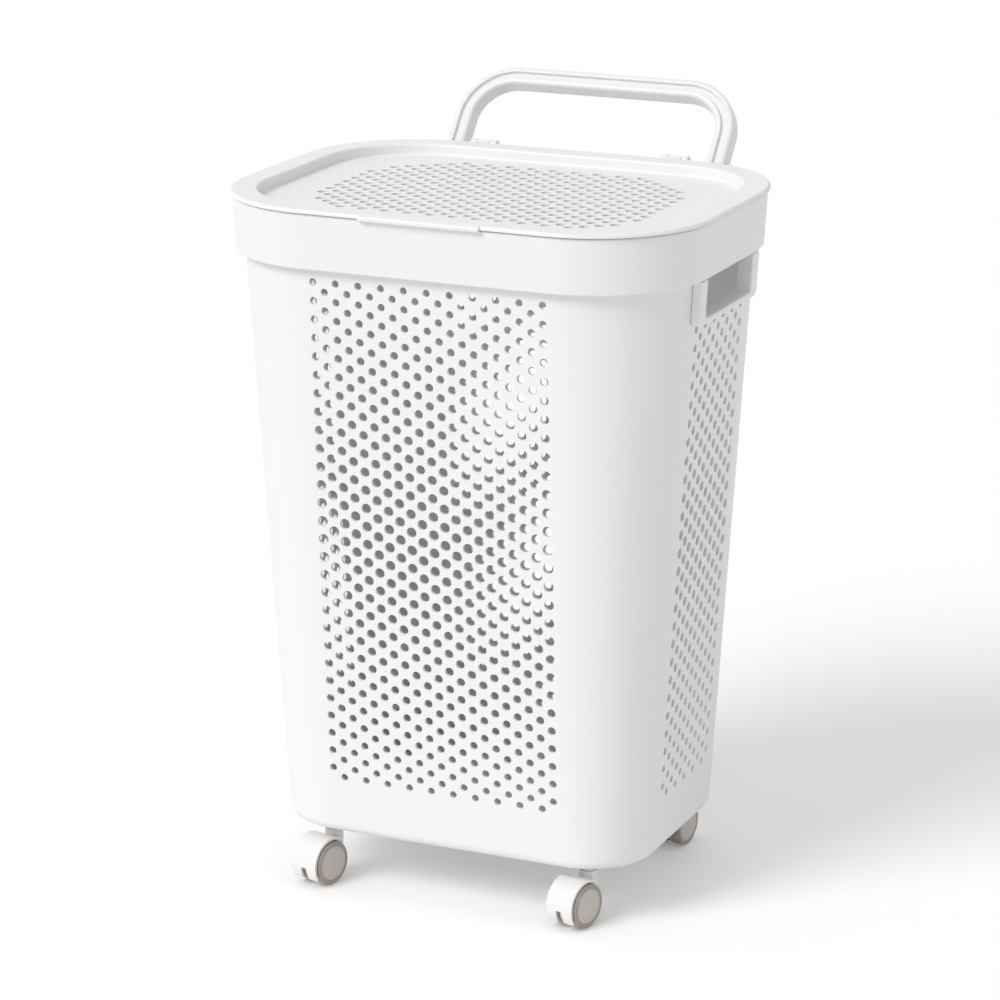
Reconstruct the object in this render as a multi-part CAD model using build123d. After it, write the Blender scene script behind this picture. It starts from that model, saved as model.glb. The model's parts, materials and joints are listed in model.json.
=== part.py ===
from build123d import *
from math import ceil, cos, radians, sin, tan
import os

os.makedirs("parts", exist_ok=True)

# Driving dimensions, in millimetres and degrees.
# The tub: a drafted, round-cornered box that stands on casters.
flat_width = 204.0
flat_depth = 110.0
foot_radius = 56.0
draft = 3.5
wall = 2.5
underside = 49.0
tub_rise = 514.0
floor_thickness = 3.0
foot_fillet = 9.0

# The perforated fields: staggered rows of holes, largest at mid height.
row_pitch = 15.0
column_pitch = 19.2
half_rows = 56
front_half_columns = 21
side_half_columns = 11
field_middle = 304.8
hole_at_edge = 6.0
hole_at_middle = 8.6
field_side_margin = 5.5
field_end_margin = 7.5
grip_end_margin = 5.25

# The rim collar: a hollow channel pressed over the tub's top edge.
collar_proud = 7.4
collar_height = 44.0
collar_skin = 2.4
collar_inner_leg = 13.0
collar_edge = 1.5
seat_gap = 0.1

# The hand grips: bezels snapped into the two side walls, flush with the collar.
grip_half_width = 62.0
grip_hole_half_width = 49.0
grip_hole_height = 31.0
grip_bar = 5.0
grip_sleeve = 2.2
grip_hook_width = 14.0
grip_hook_reach = 1.2
grip_corner = 6.0
grip_bridge = 2.0
grip_hole_corner = 4.0

# The lid: a shallow tray with a raised rim that sits on the collar.
lid_overhang = 1.8
lid_gap = 0.8
lid_rim_height = 3.2
lid_rim_width = 22.0
lid_skin = 2.2
lid_recess = 9.0
lid_floor = 1.8
lid_edge = 2.4
lid_half_columns = 29
lid_half_rows = 29
lid_hole = 8.0
lid_field_corner = 70.0
lid_field_margin = 6.0
lip_half_length = 50.0
lip_proud = 3.0
lip_height = 4.4
lip_hang = 1.6

# The lid hinge: two knuckles on the lid between pairs of ears on the collar.
hinge_offset = 85.0
knuckle_radius = 5.2
knuckle_length = 12.0
knuckle_gap = 0.6
knuckle_drop = 0.8
ear_thickness = 5.0
ear_gap = 0.4
ear_root = 16.0
hinge_pin_radius = 2.0

# The pull handle: a swinging bail between lugs behind the collar.
handle_centre = 116.0
bar_size = 16.0
bar_edge = 3.0
groove_width = 5.5
groove_depth = 3.0
groove_edge = 0.8
handle_reach = 79.6
handle_corner = 40.0
handle_lean = 39.5
handle_pivot_back = 19.0
handle_pivot_drop = 8.0
lug_thickness = 4.5
lug_gap = 0.4
lug_root = 15.0
handle_pin_radius = 3.0

# The casters: twin wheels under a hood, on a stem that turns in a socket.
caster_x = 112.5
caster_y = 82.0
front_caster_yaw = -15.0
rear_caster_yaw = 174.0
trail = 17.0
wheel_radius = 18.0
wheel_width = 11.5
wheel_edge = 2.0
wheel_track = 5.5
cap_radius = 14.6
cap_thickness = 2.4
cap_crown = 0.8
axle_radius = 2.5
axle_length = 23.0
hood_gap = 1.2
hood_skin = 2.0
hood_width = 25.0
hood_web = 4.5
hood_front_end = -32.0
hood_stem_end = 128.0
notch_width = 6.0
notch_height = 9.0
boss_radius = 7.5
boss_top = 41.5
stem_radius = 4.0
stem_collar_radius = 6.5
stem_collar = 2.0
stem_play = 0.3
stem_bottom = 37.0
socket_radius = 6.5
socket_flange_radius = 9.0
socket_flange = 1.2
socket_top = 70.0
socket_cap = 2.0
tub_boss_radius = 10.5
tub_boss_top = 72.5

running_gap = 0.05

# Sizes that follow from the ones above.
slope = tan(radians(draft))
rim_level = underside + tub_rise + collar_skin
collar_low = rim_level - collar_height
level_wall = wall / cos(radians(draft))


def wall_out(height):
    return foot_radius + (height - underside) * slope


collar_out = wall_out(rim_level) + collar_proud
collar_back = flat_depth / 2 + collar_out
lid_out = collar_out + lid_overhang
lid_low = rim_level + lid_gap
lid_top = lid_low + lid_rim_height
lid_back = flat_depth / 2 + lid_out
recess_out = lid_out - lid_rim_width
recess_floor = lid_top - lid_recess
hinge_y = lid_back + knuckle_radius + knuckle_gap
hinge_z = lid_low - knuckle_drop
pivot_y = collar_back + handle_pivot_back
pivot_z = rim_level - handle_pivot_drop
column_step = column_pitch / 2
row_step = row_pitch / 2
field_reach = (half_rows - 1) / 2 * row_step

# Heights on the side walls' planes: the hand grip hangs from the collar, and the rows start under it.
collar_line = (collar_low - field_middle) / cos(radians(draft))
grip_top = collar_line - seat_gap
hole_low = grip_top - grip_hole_height
sleeve_low = hole_low - grip_sleeve
window_low = sleeve_low - seat_gap
side_rows_left_out = ceil((field_reach + grip_end_margin + grip_bridge - window_low) / row_step)


def rounded_face(points):
    """A face inside straight edges, with each corner rounded by its own radius."""
    edges = []
    ends = []
    count = len(points)
    for index in range(count):
        x, y, radius = points[index]
        here = Vector(x, y)
        before = Vector(*points[index - 1][:2])
        after = Vector(*points[(index + 1) % count][:2])
        to_before = (before - here).normalized()
        to_after = (after - here).normalized()
        if radius == 0:
            ends.append((here, here))
            continue
        half_angle = radians(to_before.get_angle(to_after) / 2)
        bisector = (to_before + to_after).normalized()
        start = here + to_before * (radius / tan(half_angle))
        end = here + to_after * (radius / tan(half_angle))
        middle = here + bisector * (radius / sin(half_angle) - radius)
        edges.append(ThreePointArc(start, middle, end))
        ends.append((start, end))
    for index in range(count):
        start = ends[index][1]
        end = ends[(index + 1) % count][0]
        if (end - start).length > 1e-6:
            edges.append(Line(start, end))
    return make_face(edges)


def carried_round(profile):
    """A wall profile carried round the tub's flats and corners."""
    section = Plane.XZ * profile
    pieces = []
    for side in range(4):
        along = flat_depth if side % 2 == 0 else flat_width
        across = flat_width if side % 2 == 0 else flat_depth
        turn = Rot(0, 0, 90 * side)
        straight = extrude(section, amount=along, dir=(0, 1, 0))
        corner = revolve(section, axis=Axis.Z, revolution_arc=90)
        pieces.append(turn * Pos(across / 2, -along / 2, 0) * straight)
        pieces.append(turn * Pos(across / 2, along / 2, 0) * corner)
    return Part() + pieces


def wall_plane(side, level):
    """The plane of one wall's outer face: front 0, right 1, back 2, left 3."""
    half = flat_depth / 2 if side % 2 == 0 else flat_width / 2
    turn = radians(90 * side)
    reach = half + wall_out(level)
    outward = (sin(turn), -cos(turn))
    lean = radians(draft)
    return Plane(
        origin=(outward[0] * reach, outward[1] * reach, level),
        x_dir=(cos(turn), sin(turn), 0),
        z_dir=(outward[0] * cos(lean), outward[1] * cos(lean), -sin(lean)),
    )


def through_wall(side, face):
    """A sketch on a wall's outer face, extruded well past both faces."""
    plane = wall_plane(side, field_middle)
    return extrude(plane * face, amount=4 * wall, both=True)


def field_size(side):
    """Half width, lower end and upper end of a wall's perforated panel."""
    half_columns = front_half_columns if side % 2 == 0 else side_half_columns
    left_out = 0 if side % 2 == 0 else side_rows_left_out
    half = (half_columns - 1) / 2 * column_step + field_side_margin
    margin = field_end_margin if side % 2 == 0 else grip_end_margin
    return half, -field_reach - field_end_margin, field_reach - left_out * row_step + margin


def perforated_wall(side):
    """One flat wall panel with its staggered holes."""
    half, low, high = field_size(side)
    half_columns = front_half_columns if side % 2 == 0 else side_half_columns
    first = 0 if side % 2 == 0 else side_rows_left_out
    middle = (half_rows - 1) / 2
    holes = []
    for row in range(first, half_rows):
        grow = 1 - abs(row - middle) / middle
        radius = (hole_at_edge + (hole_at_middle - hole_at_edge) * grow) / 2
        for column in range(half_columns):
            if (row + column) % 2 == 0:
                across = (column - (half_columns - 1) / 2) * column_step
                up = (middle - row) * row_step
                holes.append(Wire.make_circle(radius, Plane((across, up, 0))))
    outline = Pos(0, (low + high) / 2) * Rectangle(2 * half, high - low)
    face = Face(outline.face().outer_wire(), holes)
    plane = wall_plane(side, field_middle)
    return extrude(plane * face, amount=-wall)


parts = {}

# The tub shell: corners, floor and bands, with a window for each perforated field.
tub_top = underside + tub_rise
tub_profile = rounded_face(
    [
        (0, underside, 0),
        (wall_out(underside), underside, foot_fillet),
        (wall_out(tub_top), tub_top, 0),
        (wall_out(tub_top) - level_wall, tub_top, 0),
        (wall_out(underside + floor_thickness) - level_wall, underside + floor_thickness, foot_fillet - wall),
        (0, underside + floor_thickness, 0),
    ]
)
tub_shell = carried_round(tub_profile)
tub_shell += Pos(0, 0, underside) * Box(
    flat_width, flat_depth, floor_thickness, align=(Align.CENTER, Align.CENTER, Align.MIN)
)
socket_low = boss_top + stem_collar + stem_play
boss_low = socket_low + socket_flange
caster_places = {
    "front_left": (-caster_x, -caster_y, front_caster_yaw),
    "front_right": (caster_x, -caster_y, front_caster_yaw),
    "rear_left": (-caster_x, caster_y, rear_caster_yaw),
    "rear_right": (caster_x, caster_y, rear_caster_yaw),
}
bosses = []
bores = []
for x, y, yaw in caster_places.values():
    bosses.append(Pos(x, y, boss_low) * extrude(Circle(tub_boss_radius), amount=tub_boss_top - boss_low))
    bores.append(Pos(x, y, boss_low) * extrude(Circle(socket_radius), amount=socket_top - boss_low))
tub_shell += bosses
tub_shell -= bores
for side in range(4):
    half, low, high = field_size(side)
    tub_shell -= through_wall(side, Pos(0, (low + high) / 2) * Rectangle(2 * half, high - low))


def grip_outline(half, low, top, corner):
    """An upright U's outline on the side wall's plane, with rounded lower corners."""
    return rounded_face([(-half, low, corner), (half, low, corner), (half, top, 0), (-half, top, 0)])


# The hand grip: a U-shaped bezel whose open top is closed by the collar's lower lip.
bezel_face = grip_outline(grip_half_width, hole_low - grip_bar, grip_top, grip_corner)
hole_face = grip_outline(grip_hole_half_width, hole_low, grip_top + grip_hole_height, grip_hole_corner)
sleeve_half = grip_hole_half_width + grip_sleeve
sleeve_corner = grip_hole_corner + grip_sleeve
sleeve_face = grip_outline(sleeve_half, sleeve_low, grip_top, sleeve_corner)
window_face = grip_outline(sleeve_half + seat_gap, window_low, collar_line, sleeve_corner + seat_gap)
hook_middle = grip_top - grip_hole_height / 2
hook_places = [
    (-sleeve_half / 2, sleeve_low, grip_hook_width, 2 * grip_hook_reach),
    (sleeve_half / 2, sleeve_low, grip_hook_width, 2 * grip_hook_reach),
    (-sleeve_half, hook_middle, 2 * grip_hook_reach, grip_hook_width),
    (sleeve_half, hook_middle, 2 * grip_hook_reach, grip_hook_width),
]
hook_near = wall + 2 * seat_gap
sleeve_far = hook_near + 2 * grip_hook_reach
for name, side in (("right", 1), ("left", 3)):
    tub_shell -= through_wall(side, window_face)
    plane = wall_plane(side, field_middle)
    bezel = extrude(plane.offset(seat_gap) * (bezel_face - hole_face), amount=collar_proud - seat_gap)
    outer_face = bezel.faces().sort_by(Axis(plane.origin, plane.z_dir))[-1]
    bezel = fillet(outer_face.edges(), collar_edge)
    grip = bezel + extrude(plane.offset(seat_gap) * (sleeve_face - hole_face), amount=-sleeve_far - seat_gap)
    for across, up, wide, tall in hook_places:
        hook = Pos(across, up) * Rectangle(wide, tall)
        grip += extrude(plane.offset(-hook_near) * (hook - hole_face), amount=-grip_hook_reach)
    parts["side_grip_" + name] = grip

parts["tub_shell"] = tub_shell
for side, name in enumerate(("front", "right", "back", "left")):
    parts["panel_" + name] = perforated_wall(side)

# The rim collar with its hinge ears and handle lugs.
skin_low = collar_low + collar_skin
inner_low = rim_level - collar_inner_leg
inner_skin = level_wall + seat_gap + collar_skin
collar_profile = rounded_face(
    [
        (wall_out(collar_low) + seat_gap, collar_low, 0),
        (wall_out(collar_low) + collar_proud, collar_low, collar_edge),
        (collar_out, rim_level, collar_edge),
        (wall_out(rim_level) - inner_skin, rim_level, collar_edge),
        (wall_out(inner_low) - inner_skin, inner_low, 0),
        (wall_out(inner_low) - level_wall - seat_gap, inner_low, 0),
        (wall_out(tub_top) - level_wall - seat_gap, tub_top, 0),
        (wall_out(tub_top) + collar_proud - collar_skin, tub_top, 0),
        (wall_out(skin_low) + collar_proud - collar_skin, skin_low, 0),
        (wall_out(skin_low) + seat_gap, skin_low, 0),
    ]
)
rim_collar = carried_round(collar_profile)
ear_face = rounded_face(
    [
        (collar_back - collar_skin, hinge_z - knuckle_radius - ear_root, 0),
        (hinge_y + knuckle_radius, hinge_z - knuckle_radius, 0),
        (hinge_y + knuckle_radius, hinge_z + knuckle_radius, knuckle_radius * 0.99),
        (hinge_y - knuckle_radius, hinge_z + knuckle_radius, knuckle_radius * 0.99),
        (hinge_y - knuckle_radius, rim_level - collar_edge, 0),
        (collar_back - collar_skin, rim_level - collar_edge, 0),
    ]
)
lug_radius = bar_size / 2
lug_inside = collar_back - collar_proud + collar_skin
lug_face = rounded_face(
    [
        (lug_inside, pivot_z - lug_radius - lug_root, 0),
        (pivot_y + lug_radius, pivot_z - lug_radius, lug_radius * 0.7),
        (pivot_y + lug_radius, rim_level - collar_edge, lug_radius * 0.7),
        (lug_inside, rim_level - collar_edge, 0),
    ]
)
ear_inner = knuckle_length / 2 + ear_gap
lug_inner = bar_size / 2 + lug_gap
for hand in (-1, 1):
    for face_side in (-1, 1):
        ear_x = hand * hinge_offset + face_side * (ear_inner + ear_thickness / 2)
        rim_collar += Pos(ear_x, 0, 0) * extrude(Plane.YZ * ear_face, amount=ear_thickness / 2, both=True)
        lug_x = hand * handle_centre + face_side * (lug_inner + lug_thickness / 2)
        rim_collar += Pos(lug_x, 0, 0) * extrude(Plane.YZ * lug_face, amount=lug_thickness / 2, both=True)


def rod(radius, length, y, z):
    """A round rod along X, centred on the part's middle plane."""
    return Pos(0, y, z) * extrude(Plane.YZ * Circle(radius), amount=length / 2, both=True)


hinge_pin_length = knuckle_length + 2 * (ear_gap + ear_thickness)
handle_pin_length = bar_size + 2 * (lug_gap + lug_thickness)
for hand, name in ((-1, "left"), (1, "right")):
    hinge_pin = Pos(hand * hinge_offset, 0, 0) * rod(hinge_pin_radius, hinge_pin_length, hinge_y, hinge_z)
    handle_pin = Pos(hand * handle_centre, 0, 0) * rod(handle_pin_radius, handle_pin_length, pivot_y, pivot_z)
    rim_collar -= hinge_pin
    rim_collar -= handle_pin
    parts["lid_hinge_pin_" + name] = hinge_pin
    parts["handle_pin_" + name] = handle_pin
parts["rim_collar"] = rim_collar

# The lid rim: skirt, top band, recess wall and the plain margin of the tray floor.
tray_low = recess_floor - lid_floor
lid_profile = rounded_face(
    [
        (lid_out - lid_skin, lid_low, 0),
        (lid_out, lid_low, 0),
        (lid_out, lid_top, lid_edge),
        (recess_out, lid_top, lid_skin),
        (recess_out, recess_floor, lid_skin / 2),
        (0, recess_floor, 0),
        (0, tray_low, 0),
        (recess_out + lid_skin, tray_low, lid_skin),
        (recess_out + lid_skin, lid_top - lid_skin, lid_skin / 2),
        (lid_out - lid_skin, lid_top - lid_skin, lid_edge - lid_skin),
    ]
)
lid_rim = carried_round(lid_profile)
lid_rim += Pos(0, 0, tray_low) * Box(
    flat_width, flat_depth, lid_floor, align=(Align.CENTER, Align.CENTER, Align.MIN)
)
lid_field_x = (lid_half_columns - 1) / 2 * column_step
lid_field_y = (lid_half_rows - 1) / 2 * row_step
lid_window = Rectangle(2 * (lid_field_x + lid_field_margin), 2 * (lid_field_y + lid_field_margin))
lid_rim -= Pos(0, 0, tray_low - lid_floor) * extrude(lid_window, amount=3 * lid_floor)
lip_middle = lid_low - lip_hang + lip_height / 2
lip = Pos(0, -lid_back, lip_middle) * Box(2 * lip_half_length, 2 * lip_proud, lip_height)
lip = fillet(lip.edges().filter_by(Axis.X).group_by(Axis.Y)[0], lip_height * 0.4)
lip -= Pos(0, -lid_back + 2 * lip_proud, lip_middle) * Box(3 * lip_half_length, 3 * lip_proud, 3 * lip_height)
lid_rim += lip
for hand in (-1, 1):
    knuckle = rod(knuckle_radius, knuckle_length, hinge_y, hinge_z)
    arm_low = lid_low + lid_skin / 2
    arm_deep = hinge_y - lid_back + lid_skin
    arm = Pos(0, hinge_y - arm_deep / 2, (arm_low + lid_top) / 2) * Box(
        knuckle_length, arm_deep, lid_top - arm_low
    )
    knuckle += arm
    knuckle -= rod(hinge_pin_radius + running_gap, 2 * knuckle_length, hinge_y, hinge_z)
    lid_rim += Pos(hand * hinge_offset, 0, 0) * knuckle
parts["lid_rim"] = lid_rim

# The lid's perforated tray floor.
corner_x = lid_field_x - lid_field_corner
corner_y = lid_field_y - lid_field_corner
lid_holes = []
for row in range(lid_half_rows):
    for column in range(lid_half_columns):
        across = (column - (lid_half_columns - 1) / 2) * column_step
        back = (row - (lid_half_rows - 1) / 2) * row_step
        past_x = max(abs(across) - corner_x, 0)
        past_y = max(abs(back) - corner_y, 0)
        inside = past_x**2 + past_y**2 <= (lid_field_corner + row_step / 2) ** 2
        if (row + column) % 2 == 0 and inside:
            lid_holes.append(Wire.make_circle(lid_hole / 2, Plane((across, back, 0))))
lid_face = Face(lid_window.face().outer_wire(), lid_holes)
parts["lid_panel"] = Pos(0, 0, tray_low) * extrude(lid_face, amount=lid_floor)

# The pull handle, drawn upright about its pivot and then leant back.
half_bar = bar_size / 2
half_groove = groove_width / 2
bar_section = rounded_face(
    [
        (-half_bar, -half_bar, bar_edge),
        (-half_groove, -half_bar, groove_edge),
        (-half_groove, -half_bar + groove_depth, groove_edge),
        (half_groove, -half_bar + groove_depth, groove_edge),
        (half_groove, -half_bar, groove_edge),
        (half_bar, -half_bar, bar_edge),
        (half_bar, half_bar, bar_edge),
        (-half_bar, half_bar, bar_edge),
    ]
)
bar_top = handle_reach - half_bar
bar_path = FilletPolyline(
    (-handle_centre, 0, 0),
    (-handle_centre, 0, bar_top),
    (handle_centre, 0, bar_top),
    (handle_centre, 0, 0),
    radius=handle_corner,
)
pull_handle = sweep(Pos(-handle_centre, 0, 0) * bar_section, path=bar_path)
for hand in (-1, 1):
    eye_at = Pos(hand * handle_centre, 0, 0)
    pull_handle += eye_at * rod(half_bar, bar_size, 0, 0)
    pull_handle -= eye_at * rod(handle_pin_radius + running_gap, 2 * bar_size, 0, 0)
parts["pull_handle"] = Pos(0, pivot_y, pivot_z) * Rot(-handle_lean, 0, 0) * pull_handle


def fan(radius, start, end):
    """A wedge about the axle that covers a circle, with angles upward from the trailing side."""
    steps = 4
    points = [(0, 0)]
    for step in range(steps + 1):
        angle = radians(start + (end - start) * step / steps)
        points.append((-cos(angle) * radius * 2, sin(angle) * radius * 2))
    return make_face(Polyline(*points, close=True))


# One caster, drawn with its stem on the Z axis and its wheels trailing toward -Y.
hood_in = wheel_radius + hood_gap
hood_out = hood_in + hood_skin
axle_at = Pos(0, -trail, wheel_radius)
sector = fan(hood_out, hood_front_end, hood_stem_end)
shell_face = (Circle(hood_out) - Circle(hood_in)) & sector
web_face = (Circle(hood_in + hood_skin / 2) & sector) + Circle(3 * axle_radius)
hood = axle_at * extrude(Plane.YZ * shell_face, amount=hood_width / 2, both=True)
hood += axle_at * extrude(Plane.YZ * web_face, amount=hood_web / 2, both=True)
boss_low_end = wheel_radius + hood_in * 0.5
boss = Pos(0, 0, boss_low_end) * extrude(Circle(boss_radius), amount=boss_top - boss_low_end)
pocket = axle_at * extrude(Plane.YZ * Circle(hood_in), amount=hood_width, both=True)
web_keep = axle_at * Box(hood_web, 6 * wheel_radius, 6 * wheel_radius)
boss -= pocket - web_keep
hood += boss
notch_at = sin(radians(hood_front_end)) * hood_in
hood -= axle_at * Pos(0, -hood_out, notch_at) * Box(notch_width, hood_out, 2 * notch_height)
hood += axle_at * extrude(Plane.YZ * (Circle(hood_in - hood_skin) & sector), amount=hood_web / 2, both=True)
hood -= axle_at * rod(axle_radius + running_gap, 2 * hood_width, 0, 0)
stem_bore = Pos(0, 0, stem_bottom) * extrude(Circle(stem_radius), amount=boss_top)
hood -= stem_bore

stem_top = socket_top - socket_cap - 2 * stem_play
stem = Pos(0, 0, stem_bottom) * extrude(Circle(stem_radius), amount=stem_top - stem_bottom)
stem += Pos(0, 0, boss_top) * extrude(Circle(stem_collar_radius), amount=stem_collar)
stem = chamfer(stem.edges().sort_by(Axis.Z)[-1], stem_radius / 4)

socket = Pos(0, 0, boss_low) * extrude(Circle(socket_radius), amount=socket_top - boss_low)
socket += Pos(0, 0, socket_low) * extrude(Circle(socket_flange_radius), amount=socket_flange)
socket_bore = Circle(stem_radius + running_gap)
socket -= Pos(0, 0, socket_low) * extrude(socket_bore, amount=socket_top - socket_cap - socket_low)

axle = axle_at * rod(axle_radius, axle_length, 0, 0)
wheel_inner = wheel_track / 2
wheel_outer = wheel_inner + wheel_width
wheel_section = rounded_face(
    [
        (axle_radius, wheel_inner, 0),
        (wheel_radius, wheel_inner, wheel_edge),
        (wheel_radius, wheel_outer, wheel_edge),
        (cap_radius, wheel_outer, 0),
        (cap_radius, wheel_outer - cap_thickness, 0),
        (axle_radius, wheel_outer - cap_thickness, 0),
    ]
)
cap_section = rounded_face(
    [
        (0, wheel_outer - cap_thickness, 0),
        (cap_radius - running_gap, wheel_outer - cap_thickness, 0),
        (cap_radius - running_gap, wheel_outer, cap_crown),
        (0, wheel_outer + cap_crown, 0),
    ]
)
spin_line = Plane(origin=(0, 0, 0), x_dir=(0, 0, 1), z_dir=(0, -1, 0))
wheel = revolve(spin_line * wheel_section, axis=Axis.X)
cap = revolve(spin_line * cap_section, axis=Axis.X)
mirrored = Rot(0, 0, 180)

caster_pieces = {
    "hood": hood,
    "stem": stem,
    "axle": axle,
    "wheel_right": axle_at * wheel,
    "wheel_left": axle_at * mirrored * wheel,
    "cap_right": axle_at * cap,
    "cap_left": axle_at * mirrored * cap,
}
for place, (x, y, yaw) in caster_places.items():
    stand = Pos(x, y, 0) * Rot(0, 0, yaw)
    parts["socket_" + place] = Pos(x, y, 0) * socket
    for name, piece in caster_pieces.items():
        parts["caster_" + place + "_" + name] = stand * piece

# The shared frame: origin on the floor under the middle of the whole outline.
whole = Compound(children=[Compound(part.solids()) for part in parts.values()])
extent = whole.bounding_box()
shift = -(extent.min.Y + extent.max.Y) / 2
for name, part in parts.items():
    export_step(Pos(0, shift, 0) * Compound(part.solids()), "parts/" + name + ".step")

print("outline", extent.min, extent.max, "shift", shift)
print("hinge", hinge_y + shift, hinge_z)
print("pivot", pivot_y + shift, pivot_z)
for place, (x, y, yaw) in caster_places.items():
    turn = radians(yaw)
    hub = (x + sin(turn) * trail, y + shift - cos(turn) * trail, wheel_radius)
    print(place, "stem", (x, y + shift), "hub", hub, "axis", (cos(turn), sin(turn), 0))
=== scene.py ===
# %% [markdown]
# # A laundry hamper on casters
# The hamper is a white moulded tub with a hinged tray lid, a swinging pull handle and four
# twin-wheel casters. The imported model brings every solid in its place. This lesson gives each
# one its finish, then sets the floor, the light and the camera.

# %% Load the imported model
import json
import math

import bpy
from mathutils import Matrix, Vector


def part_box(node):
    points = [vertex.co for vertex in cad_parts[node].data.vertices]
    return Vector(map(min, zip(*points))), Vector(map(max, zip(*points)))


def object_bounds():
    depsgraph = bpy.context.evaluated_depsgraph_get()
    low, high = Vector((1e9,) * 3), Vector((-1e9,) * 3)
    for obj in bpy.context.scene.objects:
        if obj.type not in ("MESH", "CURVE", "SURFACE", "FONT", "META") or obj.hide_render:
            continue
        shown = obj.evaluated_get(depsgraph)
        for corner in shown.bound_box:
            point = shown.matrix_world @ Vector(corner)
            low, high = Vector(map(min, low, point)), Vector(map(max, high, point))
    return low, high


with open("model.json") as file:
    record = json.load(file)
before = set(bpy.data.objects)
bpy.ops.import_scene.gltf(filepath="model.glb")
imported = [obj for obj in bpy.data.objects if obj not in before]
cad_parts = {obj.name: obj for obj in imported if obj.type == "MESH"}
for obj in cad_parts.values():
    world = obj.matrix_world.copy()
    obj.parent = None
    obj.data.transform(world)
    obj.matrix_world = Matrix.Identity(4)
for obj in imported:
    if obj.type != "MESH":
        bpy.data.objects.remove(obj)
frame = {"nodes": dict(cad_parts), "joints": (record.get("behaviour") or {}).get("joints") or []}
nodes = frame["nodes"]
joints = {joint["name"]: joint for joint in frame["joints"]}
cad_low, cad_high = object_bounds()
print("nodes", len(nodes), "box", tuple(cad_low), tuple(cad_high))

# %% [markdown]
# ## Tools for materials
# Every finish here is made of nodes. Coordinates are the object's own, in metres, so a grain of
# half a millimetre is written as its real size and stays on the piece when it moves. A noise
# gives the unevenness that no real surface is without.

# %% A blank material and a noise


def new_material(name):
    """A material, its node tree, its Principled shader and its object coordinates."""
    material = bpy.data.materials.new(name)
    material.use_nodes = True
    tree = material.node_tree
    shader = tree.nodes["Principled BSDF"]
    place = tree.nodes.new("ShaderNodeTexCoord")
    return material, tree, shader, place.outputs["Object"]


def noise(tree, place, grain, detail=2.0):
    """A noise whose blobs are about `grain` metres across."""
    node = tree.nodes.new("ShaderNodeTexNoise")
    node.inputs["Scale"].default_value = 1.0 / grain
    node.inputs["Detail"].default_value = detail
    tree.links.new(place, node.inputs["Vector"])
    return node.outputs["Fac"]


# %% [markdown]
# ## What a noise drives
# One noise can drive several things at once: a roughness, a colour and a relief. Each helper
# here takes a value from 0 to 1 and hands on what the shader needs. The mix node keeps a set of
# sockets for each kind of data, and those for colours are found by their number.

# %% Range, colour and relief
first_colour = 6
second_colour = 7
mixed_colour = 2


def between(tree, value, low, high):
    """Carries a 0 to 1 value to the range from low to high."""
    node = tree.nodes.new("ShaderNodeMapRange")
    node.inputs["To Min"].default_value = low
    node.inputs["To Max"].default_value = high
    tree.links.new(value, node.inputs["Value"])
    return node.outputs["Result"]


def tint(tree, value, start, end):
    """A colour that runs from start to end with a 0 to 1 value."""
    node = tree.nodes.new("ShaderNodeMix")
    node.data_type = "RGBA"
    node.inputs[first_colour].default_value = (*start, 1.0)
    node.inputs[second_colour].default_value = (*end, 1.0)
    tree.links.new(value, node.inputs["Factor"])
    return node.outputs[mixed_colour]


def bump(tree, height, depth, base=None):
    """A surface relief of `depth` metres from a 0 to 1 height."""
    node = tree.nodes.new("ShaderNodeBump")
    node.inputs["Distance"].default_value = depth
    tree.links.new(height, node.inputs["Height"])
    if base is not None:
        tree.links.new(base, node.inputs["Normal"])
    return node.outputs["Normal"]


# %% [markdown]
# ## Moulded plastic
# The tub, collar, lid, grips and handle are injection-moulded polypropylene. Such a moulding
# is nearly white, satin rather than shiny, with a fine spark-eroded grain from the mould and
# slow, barely visible waves where the wall shrank. The colour shifts by a percent or so. The
# caster hoods come from a polished mould, so their grain is finer and a clear coat stands for
# the gloss.

# %% Moulded finish
cloud_size = 0.12
cloud_shade = 0.985
grain_size = 0.0006
grain_depth = 0.00003
grain_detail = 4.0
satin_spread = 0.05
shrink_size = 0.045
shrink_depth = 0.0002
shrink_detail = 1.0


def shade(colour, share):
    """A colour with its light scaled by `share`."""
    return tuple(channel * share for channel in colour)


def moulded(name, colour, rough, relief=grain_depth):
    """A moulded plastic: clouded colour, uneven satin, fine grain over slow waves."""
    material, tree, shader, place = new_material(name)
    clouds = noise(tree, place, cloud_size)
    specks = noise(tree, place, grain_size, grain_detail)
    waves = noise(tree, place, shrink_size, shrink_detail)
    clouded = tint(tree, clouds, shade(colour, cloud_shade), colour)
    tree.links.new(clouded, shader.inputs["Base Color"])
    satin = between(tree, specks, rough - satin_spread, rough + satin_spread)
    tree.links.new(satin, shader.inputs["Roughness"])
    slow = bump(tree, waves, shrink_depth)
    tree.links.new(bump(tree, specks, relief, slow), shader.inputs["Normal"])
    return material


# %% Satin and gloss plastics
tub_colour = (0.86, 0.86, 0.865)
# The handle's white is the tub's white made a little darker: painted shade on the handle.
handle_shaded_colour = (0.81, 0.805, 0.81)
hood_colour = (0.84, 0.83, 0.82)
socket_colour = (0.62, 0.62, 0.61)
hood_coat = 0.5
hood_coat_rough = 0.06

satin_white = moulded("satin_white", tub_colour, rough=0.42)
handle_shaded_white = moulded("handle_shaded_white", handle_shaded_colour, rough=0.34)
hood_white = moulded("hood_white", hood_colour, rough=0.16, relief=grain_depth / 4)
hood_shader = hood_white.node_tree.nodes["Principled BSDF"]
hood_shader.inputs["Coat Weight"].default_value = hood_coat
hood_shader.inputs["Coat Roughness"].default_value = hood_coat_rough
socket_grey = moulded("socket_grey", socket_colour, rough=0.5)
print("plastics", satin_white.name, handle_shaded_white.name, hood_white.name, socket_grey.name)

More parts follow.
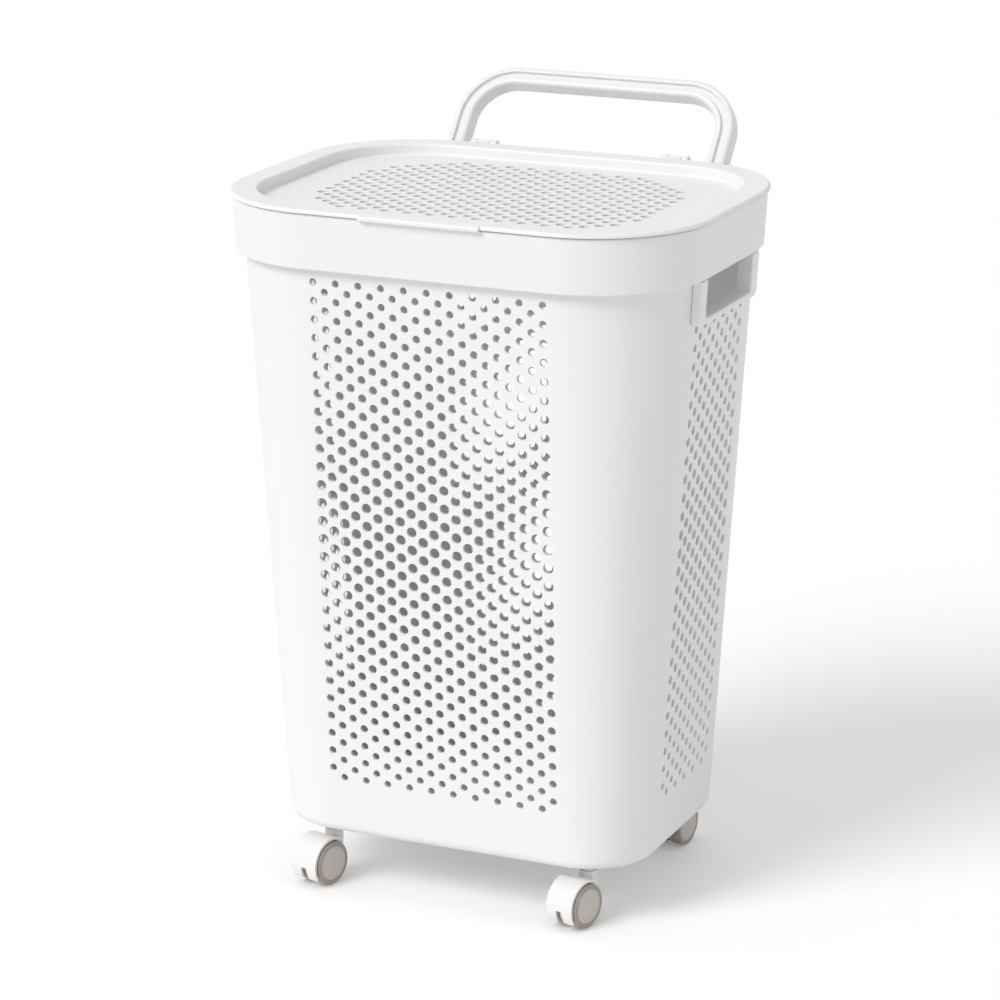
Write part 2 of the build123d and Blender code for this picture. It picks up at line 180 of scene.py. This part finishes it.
# %% [markdown]
# ## Caster wheels
# A caster wheel is a turned-looking nylon disc: the tread carries fine rings from rolling, and
# the pressed-in disc on its face has very faint concentric marks. Distance from the axle drives
# both, so the rings stay round. The axle comes from the wheel's own joint: the coordinates are
# turned until X runs along it, and what is left in Y and Z is the way out from it.

# %% Distance from the axle


def distance_from_axle(tree, place, joint):
    """How far a point lies from a level joint's axis, in metres."""
    axis = Vector(joint["axis"])
    turned = tree.nodes.new("ShaderNodeMapping")
    turned.vector_type = "TEXTURE"
    turned.inputs["Location"].default_value = Vector(joint["pos_m"])
    turned.inputs["Rotation"].default_value = (0.0, 0.0, math.atan2(axis.y, axis.x))
    tree.links.new(place, turned.inputs["Vector"])
    split = tree.nodes.new("ShaderNodeSeparateXYZ")
    tree.links.new(turned.outputs["Vector"], split.inputs["Vector"])
    outward = tree.nodes.new("ShaderNodeCombineXYZ")
    for way in ("Y", "Z"):
        tree.links.new(split.outputs[way], outward.inputs[way])
    length = tree.nodes.new("ShaderNodeVectorMath")
    length.operation = "LENGTH"
    tree.links.new(outward.outputs["Vector"], length.inputs[0])
    return length.outputs["Value"]


# %% [markdown]
# ## Rings and a darker rim
# A folded ramp of the distance makes the rings. The colour darkens towards the rim, in patches,
# where both the distance and a noise are high.

# %% Ringed finish
ring_pitch = 0.0011
ring_depth = 0.00006
darkening_starts = 0.010
darkening_full = 0.018
darkening_patch = 0.006
darkening_detail = 4.0
polish = 0.06
scuff = 0.08


def ringed(name, joint, colour, rough, darkest_share):
    """A disc finish with rings about a joint's axis, darker towards the rim down to `darkest_share`
    of its light.
    """
    material, tree, shader, place = new_material(name)
    distance = distance_from_axle(tree, place, joint)
    patches = noise(tree, place, darkening_patch, darkening_detail)

    # Darker towards the rim, in patches: the distance from the axle times a noise.
    near_rim = between(tree, distance, 0.0, 1.0)
    near_rim.node.inputs["From Min"].default_value = darkening_starts
    near_rim.node.inputs["From Max"].default_value = darkening_full
    rim_darkening = tree.nodes.new("ShaderNodeMath")
    rim_darkening.operation = "MULTIPLY"
    tree.links.new(near_rim, rim_darkening.inputs[0])
    tree.links.new(patches, rim_darkening.inputs[1])
    darkened = tint(tree, rim_darkening.outputs["Value"], colour, shade(colour, darkest_share))
    tree.links.new(darkened, shader.inputs["Base Color"])

    fold = tree.nodes.new("ShaderNodeMath")
    fold.operation = "PINGPONG"
    fold.inputs[1].default_value = ring_pitch
    tree.links.new(distance, fold.inputs[0])
    rings = between(tree, fold.outputs["Value"], 0.0, 1.0)
    rings.node.inputs["From Max"].default_value = ring_pitch
    tree.links.new(bump(tree, rings, ring_depth), shader.inputs["Normal"])

    tree.links.new(between(tree, patches, rough - polish, rough + scuff), shader.inputs["Roughness"])
    return material


# %% Tread and disc of each caster
tread_colour = (0.44, 0.38, 0.33)
disc_colour = (0.60, 0.55, 0.51)
casters = ("front_left", "front_right", "rear_left", "rear_right")
tread_of = {}
disc_of = {}
for caster in casters:
    roll = joints[caster + "_roll"]
    tread_of[caster] = ringed("tread_" + caster, roll, tread_colour, rough=0.48, darkest_share=0.62)
    disc_of[caster] = ringed("disc_" + caster, roll, disc_colour, rough=0.36, darkest_share=0.85)
print("wheel finishes", len(tread_of) + len(disc_of))

# %% [markdown]
# ## Steel pins
# Hinge pins, handle pins, stems and axles are drawn wire, zinc plated: bright, with marks that
# run along the wire. Stretching a noise along X gives those marks on the pins; the stems only
# show a few millimetres, where the direction can't be read.

# %% Plated steel
mark_size = 0.0004
mark_detail = 3.0
mark_depth = 0.00002
mark_squeeze = (0.08, 1.0, 1.0)
steel_dark = (0.46, 0.46, 0.47)
steel_bright = (0.62, 0.62, 0.63)
steel_smoothest = 0.22
steel_roughest = 0.4

plated_steel, tree, shader, place = new_material("plated_steel")
stretch = tree.nodes.new("ShaderNodeMapping")
stretch.inputs["Scale"].default_value = mark_squeeze
tree.links.new(place, stretch.inputs["Vector"])
marks = noise(tree, stretch.outputs["Vector"], mark_size, mark_detail)
tree.links.new(tint(tree, marks, steel_dark, steel_bright), shader.inputs["Base Color"])
tree.links.new(between(tree, marks, steel_smoothest, steel_roughest), shader.inputs["Roughness"])
tree.links.new(bump(tree, marks, mark_depth), shader.inputs["Normal"])
shader.inputs["Metallic"].default_value = 1.0
print("steel", plated_steel.name)

# %% [markdown]
# ## Dressing the solids
# Each solid takes its finish from what it is. The names in the model say which piece is which,
# so a short rule finds the finish, and the caster's place picks its own ringed version.

# %% Give every node its finish


def finish_for(name):
    """The finish of a node, by its name."""
    if "pin" in name or name.endswith(("stem", "axle")):
        return plated_steel
    for caster in casters:
        if caster + "_wheel" in name:
            return tread_of[caster]
        if caster + "_cap" in name:
            return disc_of[caster]
    if name.endswith("hood"):
        return hood_white
    if name.startswith("socket"):
        return socket_grey
    if name == "pull_handle":
        return handle_shaded_white
    return satin_white


for name, node in nodes.items():
    node.data.materials.clear()
    node.data.materials.append(finish_for(name))
print("dressed", len(nodes))

# %% [markdown]
# ## Floor
# The photograph has a white ground. The floor is a pale sheet that keeps the shadow. The camera,
# mirror-like surfaces and clear ones meet it a little brighter than it is, while the light that
# the hamper gets from it stays plain.

# %% Rays that show a surface


def seen_share(tree):
    """One for rays that show a surface to the camera, straight or by mirror or glass, else zero."""
    path = tree.nodes.new("ShaderNodeLightPath")
    share = path.outputs["Is Camera Ray"]
    for ray in ("Is Glossy Ray", "Is Transmission Ray"):
        larger = tree.nodes.new("ShaderNodeMath")
        larger.operation = "MAXIMUM"
        tree.links.new(share, larger.inputs[0])
        tree.links.new(path.outputs[ray], larger.inputs[1])
        share = larger.outputs["Value"]
    return share


# %% Pale floor
pure_white = (1.0, 1.0, 1.0, 1.0)
floor_size = 12.0
floor_gap = 0.0005
floor_lift = 0.16
floor_rough = 0.8
mottle_size = 0.3
mottle_dark = (0.87, 0.87, 0.87)
mottle_light = (0.89, 0.89, 0.89)

bpy.ops.mesh.primitive_plane_add(size=floor_size, location=(0.0, 0.0, cad_low.z - floor_gap))
floor = bpy.context.object
floor.name = "floor"
pale_floor, tree, shader, place = new_material("pale_floor")
mottle = noise(tree, place, mottle_size)
tree.links.new(tint(tree, mottle, mottle_dark, mottle_light), shader.inputs["Base Color"])
shader.inputs["Roughness"].default_value = floor_rough
shader.inputs["Emission Color"].default_value = pure_white
lift = between(tree, seen_share(tree), 0.0, floor_lift)
tree.links.new(lift, shader.inputs["Emission Strength"])
floor.data.materials.append(pale_floor)
print("floor", floor.name, "at", floor.location.z)

# %% [markdown]
# ## Background
# Behind the floor lies the world. It is white where it is seen, and as a light it is a plain,
# even room, so the white ground doesn't flood the hamper. A mix shader picks between the two.

# %% White world
room_strength = 0.6
backdrop_strength = 1.0

world = bpy.data.worlds.new("studio")
bpy.context.scene.world = world
world.use_nodes = True
sky = world.node_tree
room_light = sky.nodes["Background"]
room_light.inputs["Color"].default_value = pure_white
room_light.inputs["Strength"].default_value = room_strength
backdrop = sky.nodes.new("ShaderNodeBackground")
backdrop.inputs["Color"].default_value = pure_white
backdrop.inputs["Strength"].default_value = backdrop_strength
choose = sky.nodes.new("ShaderNodeMixShader")
sky.links.new(seen_share(sky), choose.inputs["Fac"])
sky.links.new(room_light.outputs["Background"], choose.inputs[1])
sky.links.new(backdrop.outputs["Background"], choose.inputs[2])
sky.links.new(choose.outputs["Shader"], sky.nodes["World Output"].inputs["Surface"])
print("world", world.name, "room light", room_strength)

# %% [markdown]
# ## Light
# In the photograph the front is brightest, the lid is a little darker and the right wall lies in
# soft shade, so one broad light comes from the upper left of the front. A distant lamp lights
# the whole floor evenly, and its wide angle keeps the shadow soft. Its angles are in degrees.

# %% Key light
key_turn = -28.7
key_height = 41.0
key_spread = 28.0
key_strength = 1.65

turn = math.radians(key_turn)
height = math.radians(key_height)
level_share = math.cos(height)
toward_key = Vector((math.sin(turn) * level_share, -math.cos(turn) * level_share, math.sin(height)))
key_lamp = bpy.data.lights.new("key_lamp", "SUN")
key_lamp.energy = key_strength
key_lamp.angle = math.radians(key_spread)
key = bpy.data.objects.new("key_lamp", key_lamp)
key.rotation_mode = "QUATERNION"
key.rotation_quaternion = (-toward_key).to_track_quat("-Z", "Y")
bpy.context.scene.collection.objects.link(key)
print("key light from", tuple(toward_key))

# %% [markdown]
# ## Camera
# The camera was solved from the rows of holes in the photograph: it stands in front and to the
# right, above the lid, with a long lens. The solved place is written from the floor under the
# middle of the tub, which lies ahead of the frame's origin because the handle reaches back.

# %% Place the camera
camera_offset = Vector((1.1731, -2.6282, 1.1528))
camera_aim = Vector((-0.3914, 0.8763, -0.2808))
sensor_width_mm = 36.0
lens_mm = 134.2

tub_low, tub_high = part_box("tub_shell")
tub_middle = (Vector(tub_low) + Vector(tub_high)) / 2
camera_data = bpy.data.cameras.new("camera")
camera_data.sensor_width = sensor_width_mm
camera_data.lens = lens_mm
camera = bpy.data.objects.new("camera", camera_data)
camera.location = camera_offset + Vector((tub_middle.x, tub_middle.y, 0.0))
camera.rotation_mode = "QUATERNION"
camera.rotation_quaternion = camera_aim.to_track_quat("-Z", "Y")
bpy.context.scene.collection.objects.link(camera)
bpy.context.scene.camera = camera
bpy.context.scene.view_settings.view_transform = "Standard"
print("camera", tuple(camera.location))
